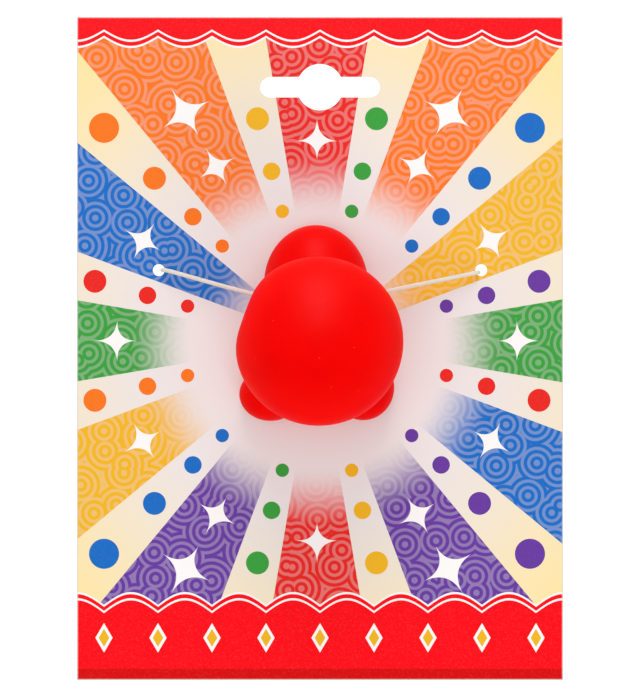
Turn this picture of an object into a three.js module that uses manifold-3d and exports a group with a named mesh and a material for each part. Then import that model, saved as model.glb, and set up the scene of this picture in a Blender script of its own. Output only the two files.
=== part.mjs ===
// A clown nose on its backing card, in millimetres, +Z up.
// The card lies face up. The origin is under the middle of the card, on the surface that it lies on.
// +X is to the right and +Y to the top of the card, and the nose stands up along +Z.
import * as THREE from "three";
import { mergeVertices } from "three/addons/utils/BufferGeometryUtils.js";
import Module from "manifold-3d";

const wasm = await Module();
wasm.setup();

// Backing card: a board with a hanging slot and two punched holes for the elastic
const CARD_WIDTH = 129.6;
const CARD_HEIGHT = 176.8;
const CARD_THICKNESS = 0.6;
const SLOT_LENGTH = 32;
const SLOT_HEIGHT = 5.5;
const SLOT_EYE_DIAMETER = 12.4;
const SLOT_BELOW_TOP = 18.7;
const HOLE_DIAMETER = 3.2;
const HOLE_SPACING = 86;
const HOLES_BELOW_TOP = 67.5;

// Elastic: a round cord that passes through the card and loops behind it
const CORD_DIAMETER = 1.1;
const CORD_BEND = 2.2; // radius of its turn round the edge of a punched hole
const CORD_SIDES = 8;
const STEPS_PER_SPAN = 2; // rings between two route points
const EYELET_CLEARANCE = 0.3;

// Cup: the nose-shaped shell that carries the ball and goes over the wearer's nose
const CUP_WIDTH = 41; // at the wings
const CUP_LENGTH = 52; // from the bridge to the septum
const CUP_DEPTH = 23.5; // from the rim to the tip
const CUP_WALL = 1.8;
const CUP_BLEND = 3.6; // softness of the creases between its lobes
const CUP_AROUND = 64;
const CUP_UP = 14;
const NOSE_FROM_MIDDLE = { x: -0.8, y: 2.05 };
const NOSE_TURN_DEG = 1; // it sits a little askew on the card

// Ball: a hollow squeezable bulb with one soft dent in its left side
const BALL_DIAMETER = 43.7;
const BALL_WALL = 1.8;
const TIP_IN_BALL = 14.35; // how far the cup's tip reaches into it
const BALL_SHIFT = { x: 0.5, y: -0.2 }; // from the nose's axis, as it was glued on
const DENT_DEPTH = 1.4;
const DENT_RADIUS = 11;
const DENT_DIRECTION = new THREE.Vector3(-0.934, 0.358, 0).normalize();
const BALL_SEGMENTS = 44;

// Squeaker: a plug in the tip of the cup that the ball's air blows through
const SQUEAKER_DIAMETER = 6.5;
const SQUEAKER_CLEARANCE = 0.25;
const SQUEAKER_AIR_HOLE = 2.4;
const FLANGE_OVERHANG = 1.95;
const FLANGE_THICKNESS = 1.2;
const LIP_OVERHANG = 0.85;
const LIP_THICKNESS = 0.8;

// Knots in the two ends of the elastic, inside the cup
const KNOT_RADIUS = 1.05;
const KNOT_STRAND_DIAMETER = 0.76;

// Pieces that touch keep this gap
const SEAT_GAP = 0.3;

// Heights that follow from the sizes above
const cardMiddleZ = CORD_DIAMETER / 2 + CORD_BEND;
const cardBackZ = cardMiddleZ - CARD_THICKNESS / 2;
const cardFrontZ = cardMiddleZ + CARD_THICKNESS / 2;
const rimZ = cardFrontZ + SEAT_GAP;
const ballHeight = CUP_DEPTH + BALL_DIAMETER / 2 - TIP_IN_BALL;

// The cup's lobes, as a nose has them. x, y and z are the centre, from the nose's axis and the
// rim, and a, b and c the half sizes. x and a are shares of the cup's width, y and b of its
// length, and z and c of its depth.
const LOBES = [
  { name: "tip", x: 0, y: 0, z: 0.34, a: 0.38, b: 0.292, c: 0.66 },
  { name: "bridge", x: 0, y: 0.29, z: 0.15, a: 0.337, b: 0.301, c: 0.68 },
  { name: "left wing", x: -0.307, y: -0.268, z: 0.19, a: 0.202, b: 0.137, c: 0.417 },
  { name: "right wing", x: 0.293, y: -0.241, z: 0.19, a: 0.202, b: 0.169, c: 0.417 },
  { name: "septum", x: 0, y: -0.217, z: 0.15, a: 0.262, b: 0.177, c: 0.43 },
].map(({ x, y, z, a, b, c }) => ({
  middle: new THREE.Vector3(x * CUP_WIDTH, y * CUP_LENGTH, z * CUP_DEPTH),
  half: new THREE.Vector3(a * CUP_WIDTH, b * CUP_LENGTH, c * CUP_DEPTH),
}));
const [tip] = LOBES;

// The elastic's route, from the knot in the cup's left side, out through the cup's wall, round
// the edge of the left hole, in a loose loop behind the card, and back the same way on the right
const CORD_ROUTE = [
  [-10.6, 12.63, 10.53],
  [-24, 16.1, 8],
  [-40.26, 20.65, 4.91],
  [-41.54, 20.9, 4.16],
  [-42.05, 20.95, 2.75],
  [-41.54, 20.85, 1.34],
  [-40.42, 20.5, 0.64],
  [-38.9, 19.6, 0.565],
  [-37.2, 17.6, 0.565],
  [-36, 13, 0.565],
  [-35.5, 2, 0.565],
  [-35, -14, 0.565],
  [-33.4, -30, 0.565],
  [-29.5, -44, 0.565],
  [-22, -55.5, 0.565],
  [-12, -62.6, 0.565],
  [0, -65, 0.565],
  [12, -62.6, 0.565],
  [22, -55.5, 0.565],
  [29.5, -44, 0.565],
  [33.4, -30, 0.565],
  [35, -14, 0.565],
  [35.5, 2, 0.565],
  [36, 13, 0.565],
  [37.2, 17.3, 0.565],
  [38.9, 19, 0.565],
  [40.62, 19.85, 0.64],
  [41.74, 20.2, 1.34],
  [42.25, 20.33, 2.75],
  [41.74, 20.22, 4.16],
  [40.46, 19.95, 4.91],
  [24, 16.5, 8],
  [8.6, 13.23, 10.91],
].map(([x, y, z]) => new THREE.Vector3(x, y, z));

// A curve through its points that is sampled evenly from point to point, not by length, so
// that the rings lie closer where the points do
class PointByPointCurve extends THREE.CatmullRomCurve3 {
  getUtoTmapping(u) {
    return u;
  }
}

function solidOf(geometry) {
  const bare = new THREE.BufferGeometry();
  bare.setAttribute("position", geometry.getAttribute("position"));
  bare.setIndex(geometry.index);
  const merged = mergeVertices(bare, 1e-4);
  return new wasm.Manifold(
    new wasm.Mesh({
      numProp: 3,
      vertProperties: new Float32Array(merged.attributes.position.array),
      triVerts: new Uint32Array(merged.index.array),
    }),
  );
}

function geometryOf(solid) {
  const mesh = solid.getMesh();
  const geometry = new THREE.BufferGeometry();
  geometry.setAttribute("position", new THREE.BufferAttribute(mesh.vertProperties, 3));
  geometry.setIndex(new THREE.BufferAttribute(mesh.triVerts, 1));
  geometry.computeVertexNormals();
  return geometry;
}

// A closed surface from rings of points: each ring joins the next, and the last joins the first
function closedRings(rings) {
  const count = rings[0].length;
  const index = [];
  rings.forEach((_, r) => {
    const next = ((r + 1) % rings.length) * count;
    for (let i = 0; i < count; i += 1) {
      const j = (i + 1) % count;
      const a = r * count + i;
      const b = r * count + j;
      index.push(a, b, next + j, a, next + j, next + i);
    }
  });
  const geometry = new THREE.BufferGeometry().setFromPoints(rings.flat());
  geometry.setIndex(index);
  return geometry;
}

// Distance from a point to a lobe's surface, negative inside, nearly exact close to the surface
function lobeDistance({ middle, half }, p) {
  const d = p.clone().sub(middle).divide(half);
  const near = d.length();
  const slope = d.divide(half).length();
  return slope < 1e-9 ? -half.length() : (near * (near - 1)) / slope;
}

// Distance to the joined lobes, with their creases rounded
function cupDistance(p) {
  return LOBES.map((lobe) => lobeDistance(lobe, p)).reduce((whole, next) => {
    const share = Math.max(CUP_BLEND - Math.abs(whole - next), 0) / CUP_BLEND;
    return Math.min(whole, next) - (share * share * CUP_BLEND) / 4;
  });
}

// The point offset mm outside the cup's skin, in a direction from the middle of the rim
function cupPoint(direction, offset) {
  let inside = 0;
  let outside = CUP_LENGTH;
  for (let i = 0; i < 40; i += 1) {
    const reach = (inside + outside) / 2;
    if (cupDistance(direction.clone().multiplyScalar(reach)) < offset) inside = reach;
    else outside = reach;
  }
  return direction.clone().multiplyScalar(inside);
}

// Rings of the surface offset mm outside the cup's skin, from the rim up to the tip
function cupRings(offset) {
  const rings = [];
  for (let k = 0; k < CUP_UP; k += 1) {
    const rise = ((k / CUP_UP) * Math.PI) / 2;
    const ring = [];
    for (let i = 0; i < CUP_AROUND; i += 1) {
      const turn = (i / CUP_AROUND) * 2 * Math.PI;
      const direction = new THREE.Vector3(Math.cos(turn), Math.sin(turn), Math.tan(rise));
      ring.push(cupPoint(direction.normalize(), offset));
    }
    rings.push(ring);
  }
  rings.push(Array(CUP_AROUND).fill(cupPoint(new THREE.Vector3(0, 0, 1), offset)));
  return rings;
}

// The cup's outer form as a solid with a flat foot, offset mm outside its skin
function cupForm(offset) {
  const foot = Array(CUP_AROUND).fill(new THREE.Vector3(0, 0, 0));
  return solidOf(closedRings([foot, ...cupRings(offset)]));
}

// The nose-shaped shell, drilled for the squeaker and for the elastic's two ends
function noseCup(cordEnds) {
  const shell = solidOf(closedRings([...cupRings(0), ...cupRings(-CUP_WALL).reverse()]));
  const seat = drill(
    new THREE.Vector3(0, 0, CUP_DEPTH - 2 * CUP_WALL),
    new THREE.Vector3(0, 0, CUP_DEPTH + CUP_WALL),
    SQUEAKER_DIAMETER + 2 * SQUEAKER_CLEARANCE,
    32,
  );
  const eyeletDiameter = CORD_DIAMETER + 2 * EYELET_CLEARANCE;
  const eyelets = cordEnds.map(([from, to]) => drill(from, to, eyeletDiameter, 12));
  return geometryOf([seat, ...eyelets].reduce((cup, hole) => cup.subtract(hole), shell));
}

// A round cutter along the line from one point to another
function drill(from, to, diameter, sides) {
  const along = to.clone().sub(from);
  const geometry = new THREE.CylinderGeometry(diameter / 2, diameter / 2, along.length(), sides);
  const up = new THREE.Vector3(0, 1, 0);
  geometry.applyQuaternion(new THREE.Quaternion().setFromUnitVectors(up, along.normalize()));
  const middle = from.clone().add(to).multiplyScalar(0.5);
  geometry.translate(middle.x, middle.y, middle.z);
  return solidOf(geometry);
}

// How far the soft dent moves a point of a ball of this radius inwards
function dentAt(p, radius) {
  const away = p.distanceTo(DENT_DIRECTION.clone().multiplyScalar(radius));
  return DENT_DEPTH * Math.exp(-2 * (away / DENT_RADIUS) ** 2);
}

function dentedSphere(radius) {
  const geometry = new THREE.SphereGeometry(radius, BALL_SEGMENTS, BALL_SEGMENTS / 2);
  geometry.rotateX(Math.PI / 2);
  const position = geometry.getAttribute("position");
  const p = new THREE.Vector3();
  for (let i = 0; i < position.count; i += 1) {
    p.fromBufferAttribute(position, i);
    p.setLength(radius - dentAt(p, radius));
    position.setXYZ(i, p.x + BALL_SHIFT.x, p.y + BALL_SHIFT.y, p.z + ballHeight);
  }
  return solidOf(geometry);
}

// The hollow ball, whose mouth closes round the cup
function ball() {
  const radius = BALL_DIAMETER / 2;
  const shell = dentedSphere(radius).subtract(dentedSphere(radius - BALL_WALL));
  return geometryOf(shell.subtract(cupForm(SEAT_GAP)));
}

// Height of the cup's tip at a distance from its axis, on the surface offset mm outside its skin
function tipHeight(radius, offset) {
  const share = radius / (tip.half.x + offset);
  return tip.middle.z + (tip.half.z + offset) * Math.sqrt(1 - share * share);
}

// A turned plug: a flange under the cup's tip, a body through it, a lip over it and an air hole
function squeaker() {
  const body = SQUEAKER_DIAMETER / 2;
  const flange = body + FLANGE_OVERHANG;
  const lip = body + LIP_OVERHANG;
  const airHole = SQUEAKER_AIR_HOLE / 2;
  const flangeTop = tipHeight(flange, -CUP_WALL) - SEAT_GAP;
  const flangeFoot = flangeTop - FLANGE_THICKNESS;
  const lipFoot = tipHeight(body, 0) + SEAT_GAP;
  const lipTop = lipFoot + LIP_THICKNESS;
  const profile = [
    [airHole, flangeFoot],
    [flange, flangeFoot],
    [flange, flangeTop],
    [body, flangeTop],
    [body, lipFoot],
    [lip, lipFoot],
    [lip, lipTop],
    [airHole, lipTop],
    [airHole, flangeFoot],
  ].map(([r, z]) => new THREE.Vector2(r, z));
  return new THREE.LatheGeometry(profile, 24).rotateX(Math.PI / 2);
}

// A slot with round ends and a round eye in its middle, as shop pegs take
function hangingSlot() {
  const slot = new THREE.Path();
  const y = CARD_HEIGHT / 2 - SLOT_BELOW_TOP;
  const end = SLOT_HEIGHT / 2;
  const endX = SLOT_LENGTH / 2 - end;
  const eye = SLOT_EYE_DIAMETER / 2;
  const mouth = Math.asin(end / eye);
  slot.moveTo(endX, y + end);
  slot.absarc(0, y, eye, mouth, Math.PI - mouth, false);
  slot.absarc(-endX, y, end, Math.PI / 2, (3 * Math.PI) / 2, false);
  slot.absarc(0, y, eye, Math.PI + mouth, 2 * Math.PI - mouth, false);
  slot.absarc(endX, y, end, -Math.PI / 2, Math.PI / 2, false);
  return slot;
}

function backingCard() {
  const x = CARD_WIDTH / 2;
  const y = CARD_HEIGHT / 2;
  const corners = [[-x, -y], [x, -y], [x, y], [-x, y]];
  const outline = new THREE.Shape(corners.map(([cx, cy]) => new THREE.Vector2(cx, cy)));
  const punched = [-1, 1].map((side) => {
    const hole = new THREE.Path();
    const holeX = (side * HOLE_SPACING) / 2;
    return hole.absarc(holeX, y - HOLES_BELOW_TOP, HOLE_DIAMETER / 2, 0, 2 * Math.PI, true);
  });
  outline.holes.push(hangingSlot(), ...punched);
  const settings = { depth: CARD_THICKNESS, bevelEnabled: false, curveSegments: 10 };
  return new THREE.ExtrudeGeometry(outline, settings).translate(0, 0, cardBackZ);
}

function elasticCord() {
  const radius = CORD_DIAMETER / 2;
  const corners = Array.from({ length: CORD_SIDES }, (_, i) => {
    const turn = (i / CORD_SIDES) * 2 * Math.PI;
    return new THREE.Vector2(radius * Math.cos(turn), radius * Math.sin(turn));
  });
  return new THREE.ExtrudeGeometry(new THREE.Shape(corners), {
    steps: STEPS_PER_SPAN * (CORD_ROUTE.length - 1),
    extrudePath: new PointByPointCurve(CORD_ROUTE),
    bevelEnabled: false,
  });
}

// A trefoil knot just past an end of the elastic, in line with it
function knot([end, next]) {
  const strand = KNOT_STRAND_DIAMETER / 2;
  const inwards = end.clone().sub(next).normalize();
  const geometry = new THREE.TorusKnotGeometry(KNOT_RADIUS, strand, 48, 6, 2, 3);
  const along = new THREE.Vector3(0, 0, 1);
  geometry.applyQuaternion(new THREE.Quaternion().setFromUnitVectors(along, inwards));
  const middle = end.clone().addScaledVector(inwards, KNOT_RADIUS / 2 + strand + SEAT_GAP);
  return geometry.translate(middle.x, middle.y, middle.z);
}

function finish(name, color, roughness) {
  return new THREE.MeshStandardMaterial({ name, color, roughness, metalness: 0 });
}

function piece(name, geometry, material) {
  const mesh = new THREE.Mesh(geometry, material);
  mesh.name = name;
  return mesh;
}

const redVinyl = finish("red_vinyl", 0xf20a04, 0.55);
const whiteBoard = finish("white_board", 0xf2efec, 0.6);
const creamElastic = finish("cream_elastic", 0xebe3cf, 0.85);
const whitePlastic = finish("white_plastic", 0xe8e6df, 0.45);

const nose = new THREE.Group();
nose.position.set(NOSE_FROM_MIDDLE.x, NOSE_FROM_MIDDLE.y, rimZ);
nose.rotation.z = THREE.MathUtils.degToRad(NOSE_TURN_DEG);
nose.updateMatrixWorld(true);

const leftEnd = [CORD_ROUTE.at(0), CORD_ROUTE.at(1)];
const rightEnd = [CORD_ROUTE.at(-1), CORD_ROUTE.at(-2)];
const endsInNose = [leftEnd, rightEnd].map((end) => end.map((p) => nose.worldToLocal(p.clone())));
nose.add(
  piece("nose_cup", noseCup(endsInNose), redVinyl),
  piece("ball", ball(), redVinyl),
  piece("squeaker", squeaker(), whitePlastic),
);

const part = new THREE.Group();
part.add(
  nose,
  piece("backing_card", backingCard(), whiteBoard),
  piece("elastic_cord", elasticCord(), creamElastic),
  piece("elastic_knot_left", knot(leftEnd), creamElastic),
  piece("elastic_knot_right", knot(rightEnd), creamElastic),
);

export default part;
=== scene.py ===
"""Dresses the clown nose on its display card: soft red vinyl, braided elastic and printed board.

Lengths are in metres. +X is to the card's right, +Y to its top and +Z up, out of its printed face.
"""

import math

import bpy
import numpy as np
from bpy.props import FloatProperty, FloatVectorProperty, IntProperty, PointerProperty
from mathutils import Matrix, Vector


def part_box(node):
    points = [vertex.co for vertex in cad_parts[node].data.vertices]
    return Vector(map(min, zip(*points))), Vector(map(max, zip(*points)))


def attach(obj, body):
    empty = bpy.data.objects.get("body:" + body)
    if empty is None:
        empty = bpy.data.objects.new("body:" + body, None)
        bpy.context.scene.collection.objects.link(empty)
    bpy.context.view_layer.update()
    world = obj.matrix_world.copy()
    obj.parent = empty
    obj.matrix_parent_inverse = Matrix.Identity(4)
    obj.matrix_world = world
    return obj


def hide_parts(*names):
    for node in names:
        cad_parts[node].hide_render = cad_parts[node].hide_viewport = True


bl_info = {
    "name": "Clown nose on its display card",
    "version": (1, 0, 0),
    "blender": (4, 5, 0),
    "location": "View3D > Sidebar > Clown nose",
    "description": "Makes the vinyl nose, its elastic, its printed card and a plain studio round them",
    "category": "Add Mesh",
}

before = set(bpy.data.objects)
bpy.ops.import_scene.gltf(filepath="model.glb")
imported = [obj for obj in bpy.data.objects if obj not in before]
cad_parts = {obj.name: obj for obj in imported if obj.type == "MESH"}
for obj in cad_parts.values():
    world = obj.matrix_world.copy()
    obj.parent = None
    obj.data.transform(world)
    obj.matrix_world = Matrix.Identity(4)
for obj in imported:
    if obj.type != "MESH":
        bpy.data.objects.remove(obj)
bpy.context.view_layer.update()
_, CARD_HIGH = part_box("backing_card")
CUP_LOW, CUP_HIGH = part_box("nose_cup")
MM = 0.001
# Rays of colour on the card, and the angle from one to the next
RAYS = 12
RAY_TURN = 2 * math.pi / RAYS

# The elastic's route, from the knot in the cup's left side, out through the cup's wall, round
# the edge of the left hole, in a loose loop behind the card, and back the same way on the right
CORD_ROUTE = [
    (-0.0106, 0.01263, 0.01053),
    (-0.024, 0.0161, 0.008),
    (-0.04026, 0.02065, 0.00491),
    (-0.04154, 0.0209, 0.00416),
    (-0.04205, 0.02095, 0.00275),
    (-0.04154, 0.02085, 0.00134),
    (-0.04042, 0.0205, 0.00064),
    (-0.0389, 0.0196, 0.000565),
    (-0.0372, 0.0176, 0.000565),
    (-0.036, 0.013, 0.000565),
    (-0.0355, 0.002, 0.000565),
    (-0.035, -0.014, 0.000565),
    (-0.0334, -0.03, 0.000565),
    (-0.0295, -0.044, 0.000565),
    (-0.022, -0.0555, 0.000565),
    (-0.012, -0.0626, 0.000565),
    (0.0, -0.065, 0.000565),
    (0.012, -0.0626, 0.000565),
    (0.022, -0.0555, 0.000565),
    (0.0295, -0.044, 0.000565),
    (0.0334, -0.03, 0.000565),
    (0.035, -0.014, 0.000565),
    (0.0355, 0.002, 0.000565),
    (0.036, 0.013, 0.000565),
    (0.0372, 0.0173, 0.000565),
    (0.0389, 0.019, 0.000565),
    (0.04062, 0.01985, 0.00064),
    (0.04174, 0.0202, 0.00134),
    (0.04225, 0.02033, 0.00275),
    (0.04174, 0.02022, 0.00416),
    (0.04046, 0.01995, 0.00491),
    (0.024, 0.0165, 0.008),
    (0.0086, 0.01323, 0.01091),
]

# The cup's lobes, as a nose has them: middle and half sizes along X, Y and Z. Those along X are
# shares of the cup's width, along Y of its length and along Z of its depth.
LOBES = {
    "tip": ((0, 0, 0.34), (0.38, 0.292, 0.66)),
    "bridge": ((0, 0.29, 0.15), (0.337, 0.301, 0.68)),
    "left wing": ((-0.307, -0.268, 0.19), (0.202, 0.137, 0.417)),
    "right wing": ((0.293, -0.241, 0.19), (0.202, 0.169, 0.417)),
    "septum": ((0, -0.217, 0.15), (0.262, 0.177, 0.43)),
}

# Direction from the ball's middle to the soft dent in its left side
DENT_WAY = (-0.934, 0.358, 0)

# Each softbox's place, its width and height in metres, and the stage's setting for its power
SOFTBOXES = {
    "key_light": ((0.0, 0.75, 0.5), (0.45, 0.45), "key"),
    "fill_light": ((-0.25, -0.2, 1.3), (0.9, 0.9), "fill"),
    "bounce_light": ((0.25, -0.7, 0.5), (0.45, 0.45), "bounce"),
    "gleam": ((0.0, 0.8, 0.54), (0.45, 1.3), "gleam"),
}


def linear(red, green, blue):
    """A colour of 0 to 255 a channel, as screens have it, in the linear numbers that shaders take"""
    share = np.array([red, green, blue]) / 255
    return tuple(np.where(share > 0.04045, ((share + 0.055) / 1.055) ** 2.4, share / 12.92))


def size(name, about, default, **more):
    """A setting that is a length"""
    return FloatProperty(name=name, description=about, default=default, unit="LENGTH", **more)


def amount(name, about, default):
    """A setting that is a plain number, such as a share or a strength"""
    return FloatProperty(name=name, description=about, default=default, min=0)


def colour(name, about, *screen):
    """A setting that is a colour, given as screens have it"""
    return FloatVectorProperty(
        name=name, description=about, default=linear(*screen), subtype="COLOR", min=0, max=1
    )


class NoseSettings(bpy.types.PropertyGroup):
    """The vinyl cup and the ball on it"""

    middle_x: size("Middle X", "Place of the nose's axis across the card", -0.8 * MM)
    middle_y: size("Middle Y", "Place of the nose's axis up the card", 2.05 * MM)
    turn: FloatProperty(
        name="Turn",
        description="How far the nose is askew on the card",
        default=math.radians(1),
        subtype="ANGLE",
    )
    rim: size("Rim height", "Height of the cup's rim over the floor", CUP_LOW.z)
    cup_width: size("Cup width", "Width at the wings", 41 * MM)
    cup_length: size("Cup length", "Length from the bridge to the septum", 52 * MM)
    cup_depth: size("Cup depth", "Depth from the rim to the tip", 23.5 * MM)
    cup_wall: size("Cup wall", "Thickness of the cup", 1.8 * MM)
    cup_blend: size("Cup creases", "Softness of the creases between the lobes", 3.6 * MM)
    ball_diameter: size("Ball diameter", "Diameter of the ball", 43.7 * MM)
    ball_wall: size("Ball wall", "Thickness of the ball", 1.8 * MM)
    ball_shift: FloatVectorProperty(
        name="Ball shift",
        description="How far off the nose's axis the ball is glued on",
        default=(0.5 * MM, -0.2 * MM),
        size=2,
        unit="LENGTH",
    )
    tip_in_ball: size("Tip in ball", "How far the cup's tip reaches into the ball", 14.35 * MM)
    dent_depth: size("Dent depth", "Depth of the soft dent in the ball's left side", 1.4 * MM)
    dent_radius: size("Dent radius", "Reach of the soft dent", 11 * MM)
    seat_gap: size("Seat gap", "Gap between the ball's mouth and the cup", 0.3 * MM)
    lip: size("Lip", "Rounding of the ball's mouth", 0.6 * MM)
    squeaker_seat: size("Squeaker seat", "Diameter of the hole in the cup's tip", 7 * MM)
    eyelet: size("Eyelet", "Diameter of the holes for the elastic", 1.5 * MM)
    vinyl: colour("Vinyl", "Colour of the vinyl", 247, 3, 0)
    vinyl_dark: colour("Dark vinyl", "Colour of the vinyl where it is dyed deeper", 241, 1, 0)
    dust: colour("Dust", "Colour of the specks of dust on the vinyl", 255, 150, 140)
    squeaker: colour("Squeaker", "Colour of the squeaker's plastic", 236, 233, 224)
    squeaker_flow: colour("Squeaker flow", "Colour of the plastic's flow marks", 226, 221, 208)


class ElasticSettings(bpy.types.PropertyGroup):
    """The braided elastic and its knots"""

    diameter: size("Diameter", "Thickness of the elastic", 1.1 * MM)
    length: size("Length", "Real length from knot to knot", 287 * MM)
    ring_step: size("Ring step", "Distance between rings of the tube", 0.25 * MM)
    sides: IntProperty(name="Sides", description="Sides of the tube", default=24, min=8)
    braid_pitch: size("Braid pitch", "Length of one turn of the braid's strands", 2.2 * MM)
    braid_strands: IntProperty(
        name="Strands", description="Strands that turn each way", default=6, min=2
    )
    braid_depth: size("Braid depth", "Height of the braid's relief", 0.035 * MM)
    knot_radius: size("Knot radius", "Radius of the knot's middle line", 1.05 * MM)
    knot_strand: size("Knot strand", "Thickness of the tightened strand in a knot", 0.76 * MM)
    thread: colour("Thread", "Colour of the covering threads", 240, 235, 222)
    core: colour("Core", "Colour between the threads", 214, 206, 188)


class PrintSettings(bpy.types.PropertyGroup):
    """The print on the card: rays round the nose, and a scalloped band at the top and the foot"""

    white: colour("White", "Colour of the sparkles, the piping and the diamonds", 250, 249, 247)
    pale: colour("Pale", "Colour round the nose, of the pale rays near it and of the curls", 234, 231, 230)
    sunny: colour("Sunny", "Colour that the pale rays take outwards", 253, 228, 160)
    red: colour("Red", "Colour of the highest and the lowest ray", 232, 38, 30)
    orange: colour("Orange", "Colour of the rays beside the highest one", 247, 120, 28)
    yellow: colour("Yellow", "Colour of the rays at the right hole and low on the left", 240, 182, 32)
    green: colour("Green", "Colour of the rays straight to the left and the right", 58, 160, 62)
    blue: colour("Blue", "Colour of the rays at the left hole and low on the right", 24, 108, 196)
    violet: colour("Violet", "Colour of the rays beside the lowest one", 104, 58, 160)
    band: colour("Band", "Colour of the scalloped bands", 254, 2, 19)
    foot: colour("Foot strip", "Colour of the strip at the foot", 216, 0, 3)
    board: colour("Board", "Colour of the bare board", 214, 210, 204)
    fibre: colour("Fibre", "Colour of the darker fibres in the bare board", 176, 168, 158)
    ray_share: amount("Ray share", "Share of its twelfth of a turn that a coloured ray fills", 0.64)
    ray_start: size("Ray start", "Distance from the nose's axis where the rays' colour begins", 33 * MM)
    elastic_ray_start: size(
        "Ray start at the elastic", "The same for the two rays behind the elastic", 15 * MM
    )
    ray_fade: size("Ray fade", "Length over which a ray comes to its full colour", 17 * MM)
    sunny_start: size("Sunny start", "Distance where the pale rays begin to turn sunny", 38 * MM)
    sunny_end: size("Sunny end", "Distance where the pale rays are as sunny as they get", 105 * MM)
    curl_spacing: size("Curl spacing", "Usual distance between the middles of two curls", 8 * MM)
    curl_rings: amount("Curl rings", "Rings of a curl in one curl spacing", 4.6)
    curl_strength: amount("Curl strength", "Share of the pale colour that a curl mixes in", 0.2)
    first_sparkles: size("First sparkles", "Distance of the first ring of sparkles", 53.5 * MM)
    ring_growth: amount("Ring growth", "Natural logarithm of each ring's growth over the last", 0.27)
    sparkle: amount("Sparkle", "Half a sparkle's size, as a share of its distance", 0.109)
    dot: amount("Dot", "Radius of a dot, as a share of its distance", 0.05)
    slot_length: size("Slot length", "Length of the hanging slot that the print leaves free", 32 * MM)
    slot_bottom: size("Slot bottom", "Height of the slot's lower side over the middle", 66.95 * MM)
    band_top: size("Band top", "Height of the band at the foot over the card's middle", -70 * MM)
    valance: size("Valance", "Height of the band at the top over the card's middle", 84.5 * MM)
    scallop: size("Scallop", "Width of one scallop", 14.4 * MM)
    scallop_depth: size("Scallop depth", "Depth of one scallop at the foot", 3.4 * MM)
    top_scallops: amount("Top scallops", "Depth of the top's scallops, as a share of the foot's", 0.8)
    piping: size("Piping", "Width of each of the two white lines along a band", 0.55 * MM)
    piping_gap: size("Piping gap", "Width of the red line between them", 1.1 * MM)
    diamond_width: size("Diamond width", "Width of a diamond", 4.6 * MM)
    diamond_height: size("Diamond height", "Height of a diamond", 7.8 * MM)
    heart: amount("Heart", "Size of a diamond's yellow heart, as a share of the diamond's", 0.62)
    foot_top: size("Foot strip top", "Height of the strip's top over the middle", -85.4 * MM)


class StageSettings(bpy.types.PropertyGroup):
    """The camera, the lights and the floor"""

    distance: size("Distance", "From the camera to the card's face", 1.0)
    view_height: size("View height", "Height of the picture at the card's face", 186.67 * MM)
    aim_y: size("Aim Y", "Place of the picture's middle up the card", -0.4 * MM)
    floor_size: size("Floor size", "Side of the floor", 6.0)
    floor: colour("Floor", "Colour of the floor", 140, 140, 140)
    glow: amount("Floor glow", "Light of the floor's own, as of a light table", 0.9)
    sky: amount("Sky", "Strength of the even light", 0.68)
    key: amount("Key light", "Power of the softbox past the card's top", 2.4)
    fill: amount("Fill light", "Power of the softbox by the camera", 2.5)
    bounce: amount("Bounce light", "Power of the reflector past the card's foot", 1.4)
    gleam: amount("Gleam", "Power of the key light's soft gleam on the ball", 31)


class Term:
    """A number that a material works out, which adds, multiplies and compares as a plain one does"""

    def __init__(self, finish, socket):
        self.finish = finish
        self.socket = socket

    def __add__(self, other):
        return self.finish.math("ADD", self, other)

    def __sub__(self, other):
        return self.finish.math("SUBTRACT", self, other)

    def __rsub__(self, other):
        return self.finish.math("SUBTRACT", other, self)

    def __mul__(self, other):
        return self.finish.math("MULTIPLY", self, other)

    def __truediv__(self, other):
        return self.finish.math("DIVIDE", self, other)

    def __mod__(self, other):
        return self.finish.math("FLOORED_MODULO", self, other)

    def __lt__(self, other):
        return self.finish.math("LESS_THAN", self, other)

    def __gt__(self, other):
        return self.finish.math("GREATER_THAN", self, other)

    def __abs__(self):
        return self.finish.math("ABSOLUTE", self)

    def between(self, low, high):
        """low where this is 0 and high where it is 1"""
        return self * (high - low) + low

    __radd__ = __add__


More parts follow.
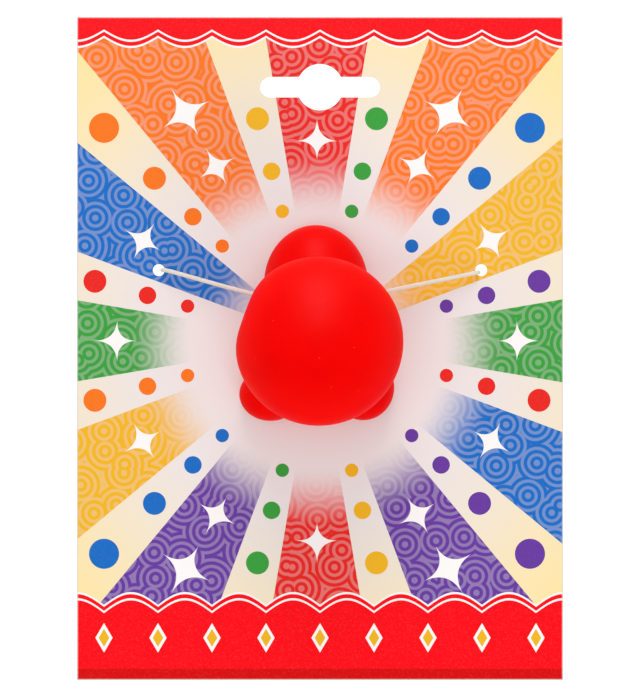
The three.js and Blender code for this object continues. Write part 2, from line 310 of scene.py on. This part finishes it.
class Finish:
    """A material under construction: its shader's plain values, and what is worked out for them"""

    def __init__(self, name, **values):
        self.material = bpy.data.materials.new(name)
        self.material.use_nodes = True
        self.tree = self.material.node_tree
        self.shader = self.tree.nodes["Principled BSDF"]
        for socket, value in values.items():
            self.set(self.shader.inputs[socket.replace("_", " ")], value)

    def set(self, socket, value):
        """Links a worked-out number to a socket, or writes a plain one or a colour into it"""
        if isinstance(value, Term):
            self.tree.links.new(value.socket, socket)
        elif socket.type == "RGBA":
            socket.default_value = (*value, 1)
        else:
            socket.default_value = value

    def node(self, kind, output, inputs, **settings):
        """What one output of a new shader node gives"""
        made = self.tree.nodes.new("ShaderNode" + kind)
        for name, value in settings.items():
            setattr(made, name, value)
        for name, value in inputs.items():
            self.set(made.inputs[name], value)
        return Term(self, made.outputs[output])

    def math(self, operation, *values):
        return self.node("Math", 0, dict(enumerate(values)), operation=operation)

    def all_of(self, first, *others):
        """1 where each of several conditions is 1, and otherwise 0"""
        for other in others:
            first = self.math("MINIMUM", first, other)
        return first

    def ramp(self, value, low, high):
        """0 where value is low and 1 where it is high, with a smooth slope between"""
        inputs = {"Value": value, "From Min": low, "From Max": high}
        return self.node("MapRange", "Result", inputs, interpolation_type="SMOOTHSTEP")

    def mix(self, share, under, over):
        """The colour under where share is 0, over where it is 1, and a blend between"""
        inputs = {0: share, 6: under, 7: over}
        return self.node("Mix", 2, inputs, data_type="RGBA")

    def choose(self, value, colours):
        """Colour number value of a list, counted from 0"""
        picked = colours[0]
        for number, each in enumerate(colours[1:], 1):
            picked = self.mix(value > number - 0.5, picked, each)
        return picked

    def place(self):
        """X, Y and Z of the point in the part's frame"""
        return self.split(self.node("TexCoord", "Object", {}))

    def split(self, vector):
        made = self.tree.nodes.new("ShaderNodeSeparateXYZ")
        self.set(made.inputs[0], vector)
        return [Term(self, made.outputs[axis]) for axis in "XYZ"]

    def noise(self, per_metre, detail=2.0, roughness=0.5):
        inputs = {
            "Vector": self.node("TexCoord", "Object", {}),
            "Scale": per_metre,
            "Detail": detail,
            "Roughness": roughness,
        }
        return self.node("TexNoise", 0, inputs)

    def scatter(self, per_metre, dimensions="2D"):
        """Distance to the nearest of many scattered points, in steps of one over per_metre"""
        inputs = {"Vector": self.node("TexCoord", "Object", {}), "Scale": per_metre}
        return self.node("TexVoronoi", "Distance", inputs, voronoi_dimensions=dimensions)

    def bump(self, height, distance, strength=1.0):
        inputs = {"Height": height, "Distance": distance, "Strength": strength}
        return self.node("Bump", "Normal", inputs)

    def dress(self, **terms):
        """Gives the shader what was worked out, and hands the material over"""
        for socket, value in terms.items():
            self.set(self.shader.inputs[socket.replace("_", " ")], value)
        return self.material


def vinyl_finish(nose):
    """Soft dyed vinyl: satin, a little translucent, with fine mould grain and a few specks of dust"""
    finish = Finish(
        "soft_red_vinyl",
        Specular_IOR_Level=0.02,
        Subsurface_Weight=0.12,
        Subsurface_Radius=(6 * MM, 1.2 * MM, 0.6 * MM),
        Subsurface_Scale=1.0,
    )
    clouds = finish.noise(per_metre=60, detail=3)
    grain = finish.noise(per_metre=2600, detail=2)
    ripple = finish.noise(per_metre=110, detail=1)
    dyed = finish.mix(finish.ramp(clouds, low=0.42, high=0.75), nose.vinyl, nose.vinyl_dark)
    speck_radius = 0.035  # of the scatter's step
    is_speck = finish.scatter(per_metre=330, dimensions="3D") < speck_radius
    return finish.dress(
        Base_Color=finish.mix(is_speck.between(0, 0.4), dyed, nose.dust),
        Roughness=finish.ramp(grain, low=0.2, high=0.8).between(0.44, 0.52),
        Normal=finish.bump(grain.between(0, 0.25) + ripple, distance=0.12 * MM),
    )


def elastic_finish(elastic):
    """Covering threads that cross in a braid, on the tube's own map: U runs round it, V along it"""
    finish = Finish("cream_elastic_braid", Specular_IOR_Level=0.25, Roughness=0.82, Sheen_Weight=0.25)
    across, along, _ = finish.split(finish.node("TexCoord", "UV", {}))
    turns = across * elastic.braid_strands
    pitches = along * elastic.braid_strands
    one_way = finish.math("SINE", (turns + pitches) * (2 * math.pi))
    other_way = finish.math("SINE", (turns - pitches) * (2 * math.pi))
    height = finish.math("MAXIMUM", one_way, other_way)
    fibre = finish.noise(per_metre=9000, detail=2)
    raised = finish.ramp(height, low=-0.35, high=0.75)
    return finish.dress(
        Base_Color=finish.mix(raised, elastic.core, elastic.thread),
        Normal=finish.bump(raised + fibre.between(0, 0.5), distance=elastic.braid_depth),
    )


def squeaker_finish(nose):
    """Moulded white plastic with faint flow marks"""
    finish = Finish("squeaker_plastic", Specular_IOR_Level=0.4)
    flow = finish.noise(per_metre=700, detail=3)
    return finish.dress(
        Base_Color=finish.mix(flow, nose.squeaker, nose.squeaker_flow),
        Roughness=flow.between(0.35, 0.5),
        Normal=finish.bump(flow, distance=0.05 * MM),
    )


def burst(finish, art, x, y, nose):
    """Twelve coloured rays round the nose, filled with curls and sparkles, and dotted pale rays

    Curls are rings of a paler tone round scattered points. Sparkles and dots lie on rings round the
    nose, each ring a fixed share further out than the last, and grow with their distance. Those that
    the card's sides, the bands or the slot would cut are left out.
    """
    from_x = x - nose.middle_x
    from_y = y - nose.middle_y
    reach = finish.math("SQRT", from_x * from_x + from_y * from_y)
    turn = finish.math("ARCTAN2", from_x, from_y) / RAY_TURN
    ray = finish.math("FLOOR", turn + 0.5)
    gap = finish.math("FLOOR", turn) + 0.5
    rings = finish.math("LOGARITHM", reach / art.first_sparkles, math.e) / art.ring_growth
    sparkle_ring = finish.math("FLOOR", rings + 0.5)
    dot_ring = finish.math("FLOOR", rings) + 0.5

    def is_whole(bearing, ring, part):
        """1 where the motif at a bearing and on a ring is cut nowhere

        Half its size is part times its distance from the nose's axis.
        """
        away = finish.math("EXPONENT", ring * art.ring_growth) * art.first_sparkles
        middle_x = finish.math("SINE", bearing * RAY_TURN) * away + nose.middle_x
        middle_y = finish.math("COSINE", bearing * RAY_TURN) * away + nose.middle_y
        half = away * part
        on_card = abs(middle_x) + half < CARD_HIGH.x
        under_valance = middle_y + half < art.valance - art.scallop_depth
        over_band = middle_y - half > art.band_top + art.scallop_depth
        past_end = abs(middle_x) - art.slot_length / 2
        off_slot = finish.math("MAXIMUM", past_end, art.slot_bottom - middle_y) > half
        return finish.all_of(on_card, under_valance, over_band, off_slot)

    clock = [art.red, art.orange, art.yellow, art.green, art.blue, art.violet]
    clock += [art.red, art.violet, art.yellow, art.green, art.blue, art.orange]
    ray_colour = finish.choose(ray % RAYS, clock)
    # A dot has the colour of the ray two and a half places on from its gap
    dot_colour = finish.choose((gap + 2.5) % RAYS, clock)

    # The elastic lies over the rays two places to either side of the highest
    by_elastic = abs(abs(ray) - 2) < 0.5
    start = art.ray_start - by_elastic * (art.ray_start - art.elastic_ray_start)
    strong = finish.ramp(reach, start, start + art.ray_fade)
    rounds = finish.scatter(1 / art.curl_spacing) * art.curl_rings
    curl = finish.ramp(finish.math("SINE", rounds * (2 * math.pi)), low=-0.3, high=0.5)
    coloured = finish.mix(strong, art.pale, finish.mix(curl * art.curl_strength, ray_colour, art.pale))
    sunny = finish.ramp(reach, art.sunny_start, art.sunny_end)
    plain = finish.mix(sunny, art.pale, art.sunny)
    shown = finish.mix(abs(turn - ray) < art.ray_share / 2, plain, coloured)

    across = (turn - gap) * RAY_TURN
    outwards = (rings - dot_ring) * art.ring_growth
    in_dot = finish.math("SQRT", across * across + outwards * outwards) < art.dot
    # The first dots lie a ring and a half inside the first sparkles, which lie on ring 0
    is_dot = finish.all_of(in_dot, dot_ring > -2, is_whole(gap, dot_ring, art.dot))
    shown = finish.mix(is_dot, shown, dot_colour)

    across = abs(turn - ray) * RAY_TURN
    outwards = abs(rings - sparkle_ring) * art.ring_growth
    spread = finish.math("SQRT", across) + finish.math("SQRT", outwards)
    in_sparkle = spread < math.sqrt(art.sparkle)
    is_sparkle = finish.all_of(in_sparkle, sparkle_ring > -0.5, is_whole(ray, sparkle_ring, art.sparkle))
    return finish.mix(is_sparkle, shown, art.white)


def bands(finish, art, x, y, under):
    """A scalloped band with white piping at the top, and one at the foot with a row of diamonds

    Each scallop is half a sine wave, up from the band at the foot and down from that at the top.
    The piping is two white lines with a red one between. Under each meeting of two scallops is a
    diamond with a yellow heart.
    """
    wave = abs(finish.math("SINE", x / art.scallop * math.pi)) * art.scallop_depth
    over_foot = art.band_top + wave - y
    over_top = y - (art.valance - wave * art.top_scallops)
    inside = finish.math("MAXIMUM", over_foot, over_top)
    shown = finish.mix(inside > -art.piping_gap - art.piping, under, art.white)
    shown = finish.mix(inside > -art.piping_gap, shown, art.band)
    shown = finish.mix(inside > 0, shown, art.white)
    shown = finish.mix(inside > art.piping, shown, art.band)
    cell_x = ((x / art.scallop + 0.5) % 1 - 0.5) * art.scallop
    cell_y = y - ((art.band_top + art.foot_top) / 2 + art.piping)
    off_diamond = abs(cell_x) / (art.diamond_width / 2) + abs(cell_y) / (art.diamond_height / 2)
    shown = finish.mix(finish.all_of(off_diamond < 1, over_foot > 0), shown, art.white)
    shown = finish.mix(finish.all_of(off_diamond < art.heart, over_foot > 0), shown, art.yellow)
    return finish.mix(y < art.foot_top, shown, art.foot)


def card_finish(art, nose):
    """Coated board, printed on its face, with bare cut edges and a plain fibrous back"""
    finish = Finish("printed_board", Specular_IOR_Level=0.06)
    x, y, _ = finish.place()
    shown = bands(finish, art, x, y, burst(finish, art, x, y, nose))
    # The ink is a little thin in places, and at the card's edges it is rubbed off, unevenly
    ink = finish.noise(per_metre=2200, detail=3)
    thin = finish.ramp(ink, low=0.45, high=0.9)
    shown = finish.mix(thin.between(0, 0.03), shown, art.white)
    to_side = finish.math("MINIMUM", CARD_HIGH.x - abs(x), CARD_HIGH.y - abs(y))
    worn = finish.ramp(to_side + ink.between(0, 0.2 * MM), low=0.5 * MM, high=0.2 * MM)
    shown = finish.mix(worn.between(0, 0.75), shown, art.board)
    fibre = finish.noise(per_metre=1500, detail=4, roughness=0.7)
    dark = finish.ramp(fibre, low=0.4, high=0.75)
    bare = finish.mix(dark.between(0, 0.35), art.board, art.fibre)
    _, _, up = finish.split(finish.node("NewGeometry", "Normal", {}))
    is_face = up > 0.5
    return finish.dress(
        Base_Color=finish.mix(is_face, bare, shown),
        Roughness=is_face.between(0.85, 0.43),
        Normal=finish.bump(fibre, distance=0.02 * MM, strength=is_face.between(1, 0.15)),
    )


def closed_mesh(name, rows, material, first_pole=None, last_pole=None, uv=None):
    """A closed surface on a grid of points.

    rows[i, j] is the point at step i along the piece and j round it. Each row closes on itself and
    each joins the next. A pole closes the grid where one is given, and otherwise the last row joins
    the first.
    """
    count, around = rows.shape[:2]
    points = [rows.reshape(-1, 3)]
    number = np.arange(count * around).reshape(count, around)
    is_ring = first_pole is None
    low = number if is_ring else number[:-1]
    high = np.roll(number, -1, 0) if is_ring else number[1:]
    quads = np.stack([low, np.roll(low, -1, 1), np.roll(high, -1, 1), high], -1).reshape(-1, 4)
    faces = quads.tolist()
    if not is_ring:
        points += [np.reshape(first_pole, (1, 3)), np.reshape(last_pole, (1, 3))]
        first, last = count * around, count * around + 1
        start, end = number[0], number[-1]
        fans = [
            np.stack([np.full(around, first), np.roll(start, -1), start], -1),
            np.stack([np.full(around, last), end, np.roll(end, -1)], -1),
        ]
        faces += np.concatenate(fans).tolist()
    mesh = bpy.data.meshes.new(name)
    mesh.from_pydata(np.concatenate(points), [], faces)
    if uv is not None:
        layer = mesh.uv_layers.new(name="UVMap")
        layer.data.foreach_set("uv", uv(quads, around, len(faces)).astype(np.float32).ravel())
    mesh.materials.append(material)
    mesh.shade_smooth()
    piece = bpy.data.objects.new(name, mesh)
    bpy.context.scene.collection.objects.link(piece)
    return piece


def ride_for(piece, slot, *nodes):
    """Puts a finished piece on the part's one body, in place of its nodes"""
    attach(piece, "root")
    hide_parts(*nodes)


def lobe_distance(points, middle, half):
    """Distance to an ellipsoid: n (n - 1) / g, where n is the point's length in half sizes and g the
    length of its slope. It is negative inside, and nearly exact close to the surface."""
    offset = (points - middle) / half
    near = np.linalg.norm(offset, axis=-1)
    slope = np.linalg.norm(offset / half, axis=-1)
    # The slope is 0 only in the lobe's very middle, where a tiny one takes its place
    return near * (near - 1) / np.maximum(slope, 1e-9)


def cup_distance(points, nose):
    """Distance to the joined lobes: the smaller of two distances, less a quarter of the crease's
    softness times the square of how evenly they compete, taken lobe after lobe."""
    scale = np.array([nose.cup_width, nose.cup_length, nose.cup_depth])
    whole = None
    for middle, half in LOBES.values():
        each = lobe_distance(points, np.array(middle) * scale, np.array(half) * scale)
        if whole is None:
            whole = each
            continue
        share = np.maximum(nose.cup_blend - np.abs(whole - each), 0) / nose.cup_blend
        whole = np.minimum(whole, each) - share**2 * nose.cup_blend / 4
    return whole


def bisect(is_before, low, high, halvings=36):
    """The arrays of values between low and high at which is_before turns false, by halving"""
    for _ in range(halvings):
        middle = (low + high) / 2
        before = is_before(middle)
        low = np.where(before, middle, low)
        high = np.where(before, high, middle)
    return (low + high) / 2


def cup_row(nose, turn, height, rise, offset):
    """Points round the cup, one for each turn: the ray from the axis at a height, turned about it
    and raised, goes out until it is offset outside the skin."""
    flat = np.cos(rise)
    ray = np.stack([flat * np.cos(turn), flat * np.sin(turn), np.sin(rise) + 0 * turn], -1)
    start = np.stack([0 * turn, 0 * turn, height + 0 * turn], -1)
    reach = bisect(
        lambda r: cup_distance(start + ray * r[..., None], nose) < offset,
        np.zeros(len(turn)),
        np.full(len(turn), nose.cup_length),
    )
    return start + ray * reach[..., None]


def to_part(points, nose):
    """Turns and moves points from the nose's own axis to their place on the card"""
    cos, sin = math.cos(nose.turn), math.sin(nose.turn)
    turned = points @ np.array([[cos, sin, 0], [-sin, cos, 0], [0, 0, 1]])
    return turned + np.array([nose.middle_x, nose.middle_y, nose.rim])


def bore(piece, start, end, diameter, sides=48):
    """Cuts a round hole along a line through a piece: the cutter's rings are (cos t) side +
    (sin t) other, times the radius, where side and other are square to the line."""
    start, end = Vector(start), Vector(end)
    angle = np.linspace(0, 2 * math.pi, sides, endpoint=False)
    side = (end - start).orthogonal().normalized()
    other = (end - start).normalized().cross(side)
    ring = np.outer(np.cos(angle), side) + np.outer(np.sin(angle), other)
    rows = np.stack([np.array(at) + ring * diameter / 2 for at in (start, end)])
    cutter = closed_mesh("cutter", rows, piece.data.materials[0], start, end)
    cut = piece.modifiers.new("bore", "BOOLEAN")
    cut.object = cutter
    cut.solver = "EXACT"
    bpy.context.view_layer.objects.active = piece
    bpy.ops.object.modifier_apply(modifier=cut.name)
    bpy.data.objects.remove(cutter)


def smooth_path(route, step, points_between=40):
    """A smooth curve through the route's points, in even steps.

    Between two points it is the centripetal Catmull-Rom blend of the four nearest: lines between
    neighbours, then lines between those lines, then once more, by knots spaced as the square root
    of the distance.
    """
    points = np.array(route)
    points = np.concatenate([[2 * points[0] - points[1]], points, [2 * points[-1] - points[-2]]])
    a, b, c, d = (points[i : len(points) - 3 + i, None] for i in range(4))
    gaps = np.sqrt(np.linalg.norm(np.diff(points, axis=0), axis=1))
    knots = np.concatenate([[0], np.cumsum(gaps)])
    ka, kb, kc, kd = (knots[i : len(knots) - 3 + i, None, None] for i in range(4))
    k = kb + (kc - kb) * np.linspace(0, 1, points_between, endpoint=False)[None, :, None]

    def between(p, q, kp, kq):
        return ((kq - k) * p + (k - kp) * q) / (kq - kp)

    ab, bc, cd = between(a, b, ka, kb), between(b, c, kb, kc), between(c, d, kc, kd)
    fine = between(between(ab, bc, ka, kc), between(bc, cd, kb, kd), kb, kc).reshape(-1, 3)
    fine = np.concatenate([fine, points[-2:-1]])
    length = np.concatenate([[0], np.cumsum(np.linalg.norm(np.diff(fine, axis=0), axis=1))])
    even = np.linspace(0, length[-1], int(length[-1] / step) + 1)
    return np.stack([np.interp(even, length, fine[:, axis]) for axis in range(3)], -1)


def tube(name, path, radius, sides, pitch, material, reference, ends=True):
    """A round tube along a path: each ring is radius times (cos t) side + (sin t) top, where side is
    square to the path and to the reference direction there, and top is square to both."""
    tangent = np.gradient(path, axis=0)
    tangent /= np.linalg.norm(tangent, axis=1, keepdims=True)
    side = np.cross(reference, tangent)
    side /= np.linalg.norm(side, axis=1, keepdims=True)
    top = np.cross(tangent, side)
    angle = np.linspace(0, 2 * math.pi, sides, endpoint=False)[None, :, None]
    ring = np.cos(angle) * side[:, None] + np.sin(angle) * top[:, None]
    rows = path[:, None] + radius * ring
    along = np.concatenate([[0], np.cumsum(np.linalg.norm(np.diff(path, axis=0), axis=1))]) / pitch

    def map_threads(quads, around, faces):
        """U runs once round the tube, to 1 and not back to 0, and V along it in pitches"""
        corner_u = quads % around / around
        wraps = (quads % around == 0) & (quads[:, :1] % around == around - 1)
        corner_u = corner_u + wraps
        corner_v = along[quads // around]
        body = np.stack([corner_u, corner_v], -1).reshape(-1, 2)
        caps = np.zeros(((faces - len(quads)) * 3, 2))
        return np.concatenate([body, caps])

    poles = (path[0], path[-1]) if ends else (None, None)
    return closed_mesh(name, rows, material, *poles, uv=map_threads)


class CLOWN_NOSE_OT_stage(bpy.types.Operator):
    """Sets up the camera straight over the card, a plain pale floor and soft studio light"""

    bl_idname = "clown_nose.stage"
    bl_label = "Camera, lights and floor"

    def execute(self, context):
        stage = context.scene.nose_stage
        context.scene.view_settings.view_transform = "Standard"
        self.add_camera(context, stage)
        self.add_floor(stage)
        self.add_lights(context, stage)
        return {"FINISHED"}

    def add_camera(self, context, stage):
        # The picture is taller than wide, so the sensor's width is the picture's height
        lens = bpy.data.cameras.new("camera")
        lens.lens = lens.sensor_width * stage.distance / stage.view_height
        camera = bpy.data.objects.new("camera", lens)
        camera.location = (0, stage.aim_y, CARD_HIGH.z + stage.distance)
        context.scene.collection.objects.link(camera)
        context.scene.camera = camera

    def add_floor(self, stage):
        finish = Finish("light_table", Roughness=0.9, Specular_IOR_Level=0.1)
        finish.dress(Base_Color=stage.floor, Emission_Color=(1, 1, 1), Emission_Strength=stage.glow)
        half = stage.floor_size / 2
        corners = [(-half, -half, 0), (half, -half, 0), (half, half, 0), (-half, half, 0)]
        mesh = bpy.data.meshes.new("floor")
        mesh.from_pydata(corners, [], [(0, 1, 2, 3)])
        mesh.materials.append(finish.material)
        floor = bpy.data.objects.new("floor", mesh)
        bpy.context.scene.collection.objects.link(floor)

    def add_lights(self, context, stage):
        world = bpy.data.worlds.new("even_light")
        world.use_nodes = True
        world.node_tree.nodes["Background"].inputs["Strength"].default_value = stage.sky
        world.node_tree.nodes["Background"].inputs["Color"].default_value = (1, 1, 1, 1)
        context.scene.world = world
        softboxes = {
            name: self.add_softbox(name, place, sides, getattr(stage, power))
            for name, (place, sides, power) in SOFTBOXES.items()
        }
        # The fill and the bounce are not mirrored, and the gleam is mirrored but lights nothing
        softboxes["fill_light"].visible_glossy = False
        softboxes["bounce_light"].visible_glossy = False
        softboxes["gleam"].visible_diffuse = False

    def add_softbox(self, name, place, sides, power):
        lamp = bpy.data.lights.new(name, "AREA")
        lamp.shape = "RECTANGLE"
        lamp.size, lamp.size_y = sides
        lamp.energy = power
        light = bpy.data.objects.new(name, lamp)
        light.location = place
        light.rotation_euler = (-Vector(place)).to_track_quat("-Z", "Y").to_euler()
        bpy.context.scene.collection.objects.link(light)
        return light


class CLOWN_NOSE_OT_elastic(bpy.types.Operator):
    """Lays the braided elastic from knot to knot, and ties its knots"""

    bl_idname = "clown_nose.elastic"
    bl_label = "Elastic and knots"
    # Points along the strand of a knot, and sides of its tube
    knot_points = 160
    knot_sides = 16

    def execute(self, context):
        elastic = context.scene.nose_elastic
        threads = elastic_finish(elastic)
        path = smooth_path(CORD_ROUTE, elastic.ring_step)
        # The tube's reference is up the card in front of it and straight up behind it, and turns
        # from one to the other between these two heights, where the elastic goes through a hole
        front, back = 2.6 * MM, 0.6 * MM
        behind = np.clip((front - path[:, 2]) / (front - back), 0, 1)
        quarter = behind * behind * (3 - 2 * behind) * math.pi / 2
        reference = np.stack([0 * quarter, np.cos(quarter), np.sin(quarter)], -1)
        cord = tube(
            "elastic_braid",
            path,
            radius=elastic.diameter / 2,
            sides=elastic.sides,
            pitch=elastic.braid_pitch,
            material=threads,
            reference=reference,
        )
        ride_for(cord, "elastic", "elastic_cord")
        knots = [
            self.tie(elastic, "knot_in_left_side", "elastic_knot_left", threads),
            self.tie(elastic, "knot_in_right_side", "elastic_knot_right", threads),
        ]
        return {"FINISHED"}

    def tie(self, elastic, name, node, threads):
        """A trefoil: at angle t it goes twice round a ring while it winds three times through it"""
        low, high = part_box(node)
        middle = np.array((low + high) / 2)
        end = np.array(CORD_ROUTE[0 if middle[0] < 0 else -1])
        axis = (middle - end) / np.linalg.norm(middle - end)
        side = np.cross(axis, (0, 1, 0))
        side /= np.linalg.norm(side)
        top = np.cross(axis, side)
        t = np.linspace(0, 2 * math.pi, self.knot_points, endpoint=False)
        ring = elastic.knot_radius * (2 + np.cos(3 * t)) / 2
        across, up = ring * np.cos(2 * t), ring * np.sin(2 * t)
        through = elastic.knot_radius * np.sin(3 * t) / 2
        path = middle + across[:, None] * side + up[:, None] * top + through[:, None] * axis
        knot = tube(
            name,
            path,
            radius=elastic.knot_strand / 2,
            sides=self.knot_sides,
            pitch=elastic.braid_pitch,
            material=threads,
            reference=np.broadcast_to(axis, path.shape),
            ends=False,
        )
        ride_for(knot, "elastic", node)
        return knot


class CLOWN_NOSE_OT_vinyl(bpy.types.Operator):
    """Mixes the vinyl of the cup and the ball"""

    bl_idname = "clown_nose.vinyl"
    bl_label = "Vinyl"

    def execute(self, context):
        context.scene.nose_vinyl = vinyl_finish(context.scene.nose_shape)
        return {"FINISHED"}


class CLOWN_NOSE_OT_cup(bpy.types.Operator):
    """Moulds the nose-shaped cup: an outer and an inner skin, joined by a rounded rim"""

    bl_idname = "clown_nose.cup"
    bl_label = "Nose-shaped cup"
    # Points in a row, rows of each skin, steps of the rim's half circle, and the angle between
    # two faces from which the edge between them is shaded as sharp
    around = 288
    up = 72
    rim_steps = 11
    sharp_angle = math.radians(40)

    def execute(self, context):
        nose = context.scene.nose_shape
        wall = nose.cup_wall
        turn = np.linspace(0, 2 * math.pi, self.around, endpoint=False)
        rises = np.linspace(0, math.pi / 2, self.up, endpoint=False)
        bends = np.linspace(0, math.pi, self.rim_steps)[1:-1]

        def row(height, rise, offset):
            return cup_row(nose, turn, height, rise, offset)

        # The rows go down the inner skin, round the rim in half a circle and up the outer skin
        inner = [row(wall / 2, rise, -wall) for rise in rises[::-1]]
        rim = [
            row(wall / 2 * (1 - math.sin(bend)), 0, -wall / 2 * (1 + math.cos(bend)))
            for bend in bends
        ]
        outer = [row(wall / 2, rise, 0) for rise in rises]
        rows = to_part(np.array(inner + rim + outer), nose)
        poles = [to_part(row(wall / 2, math.pi / 2, offset)[0], nose) for offset in (-wall, 0)]
        cup = closed_mesh("nose_cup_vinyl", rows, context.scene.nose_vinyl, *poles)
        axis_x, axis_y, _ = to_part(np.zeros(3), nose)
        # The squeaker's seat goes right through the tip, and the elastic's holes through the sides
        tip = CUP_HIGH.z
        bore(cup, (axis_x, axis_y, tip - 4 * wall), (axis_x, axis_y, tip + wall), nose.squeaker_seat)
        for end, beyond in ((CORD_ROUTE[0], CORD_ROUTE[1]), (CORD_ROUTE[-1], CORD_ROUTE[-2])):
            bore(cup, end, beyond, nose.eyelet)
        cup.data.set_sharp_from_angle(angle=self.sharp_angle)
        ride_for(cup, "vinyl", "nose_cup")
        return {"FINISHED"}


class CLOWN_NOSE_OT_ball(bpy.types.Operator):
    """Moulds the hollow ball: an outer and an inner skin that meet in a lip round the cup"""

    bl_idname = "clown_nose.ball"
    bl_label = "Ball"
    # Points in a row, rows of each skin and how closely they crowd at the lip, where 1 is evenly
    around = 256
    down = 110
    crowding = 1.35

    def execute(self, context):
        nose = context.scene.nose_shape
        radius = nose.ball_diameter / 2
        outer = self.skin(nose, radius, nose.lip)
        inner = self.skin(nose, radius - nose.ball_wall, nose.lip / 2)
        rows = to_part(np.concatenate([inner, outer[::-1]]), nose)
        centre = self.centre(nose)
        poles = [to_part(centre + (0, 0, r), nose) for r in (radius - nose.ball_wall, radius)]
        ball = closed_mesh("ball_vinyl", rows, context.scene.nose_vinyl, *poles)
        ride_for(ball, "vinyl", "ball")
        return {"FINISHED"}

    def centre(self, nose):
        height = nose.cup_depth + nose.ball_diameter / 2 - nose.tip_in_ball
        return np.array([*nose.ball_shift, height])

    def skin(self, nose, radius, lip):
        """Rows from the front of the ball to its mouth.

        A point is the centre plus its direction times r - d - l, where r is the radius, d the dent's
        depth times a bell curve of the distance to its middle, and l the rounding of the lip, a
        quarter circle in the distance that is left to the mouth. Rows crowd together at the lip.
        """
        turn = np.linspace(0, 2 * math.pi, self.around, endpoint=False)

        def at(polar, rounding=0.0):
            flat = np.sin(polar)
            way = np.stack([flat * np.cos(turn), flat * np.sin(turn), np.cos(polar) + 0 * turn], -1)
            dent_middle = np.array(DENT_WAY) * radius
            away = np.linalg.norm(way * radius - dent_middle, axis=-1)
            dent = nose.dent_depth * np.exp(-2 * (away / nose.dent_radius) ** 2)
            return self.centre(nose) + way * (radius - dent - rounding)[..., None]

        mouth = bisect(
            lambda polar: cup_distance(at(polar), nose) > nose.seat_gap,
            np.full(self.around, math.pi / 2),
            np.full(self.around, math.pi),
        )
        way_down = np.linspace(0, 1, self.down + 1)[1:, None]
        polar = mouth * (1 - (1 - way_down) ** self.crowding)
        left = np.clip(1 - (mouth - polar) * radius / lip, 0, 1)
        return at(polar, lip * (1 - np.sqrt(1 - left * left)))


class CLOWN_NOSE_OT_squeaker(bpy.types.Operator):
    """Gives the squeaker its moulded plastic"""

    bl_idname = "clown_nose.squeaker"
    bl_label = "Squeaker"

    def execute(self, context):
        material = squeaker_finish(context.scene.nose_shape)
        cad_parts["squeaker"].material_slots[0].material = material
        return {"FINISHED"}


class CLOWN_NOSE_OT_card(bpy.types.Operator):
    """Prints the card"""

    bl_idname = "clown_nose.card"
    bl_label = "Printed card"

    def execute(self, context):
        material = card_finish(context.scene.nose_print, context.scene.nose_shape)
        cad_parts["backing_card"].material_slots[0].material = material
        return {"FINISHED"}


class CLOWN_NOSE_PT_panel(bpy.types.Panel):
    """Lists the pieces in the 3D view's sidebar"""

    bl_label = "Clown nose"
    bl_idname = "CLOWN_NOSE_PT_panel"
    bl_space_type = "VIEW_3D"
    bl_region_type = "UI"
    bl_category = "Clown nose"

    def draw(self, context):
        for step in STEPS:
            self.layout.operator(step.bl_idname)


STEPS = (
    CLOWN_NOSE_OT_stage,
    CLOWN_NOSE_OT_elastic,
    CLOWN_NOSE_OT_vinyl,
    CLOWN_NOSE_OT_cup,
    CLOWN_NOSE_OT_ball,
    CLOWN_NOSE_OT_squeaker,
    CLOWN_NOSE_OT_card,
)
SETTINGS = {
    "nose_shape": NoseSettings,
    "nose_elastic": ElasticSettings,
    "nose_print": PrintSettings,
    "nose_stage": StageSettings,
}


def register():
    """Makes the settings, the steps and the panel known to Blender"""
    for each in (*SETTINGS.values(), *STEPS, CLOWN_NOSE_PT_panel):
        bpy.utils.register_class(each)
    for name, group in SETTINGS.items():
        setattr(bpy.types.Scene, name, PointerProperty(type=group))
    bpy.types.Scene.nose_vinyl = PointerProperty(type=bpy.types.Material)


def unregister():
    """Takes back what register did"""
    del bpy.types.Scene.nose_vinyl
    for name in SETTINGS:
        delattr(bpy.types.Scene, name)
    for each in reversed((*SETTINGS.values(), *STEPS, CLOWN_NOSE_PT_panel)):
        bpy.utils.unregister_class(each)


def main():
    """Makes the whole scene, step by step"""
    register()
    bpy.ops.clown_nose.stage()
    bpy.ops.clown_nose.elastic()
    bpy.ops.clown_nose.vinyl()
    bpy.ops.clown_nose.cup()
    bpy.ops.clown_nose.ball()
    bpy.ops.clown_nose.squeaker()
    bpy.ops.clown_nose.card()


if __name__ == "__main__":
    main()
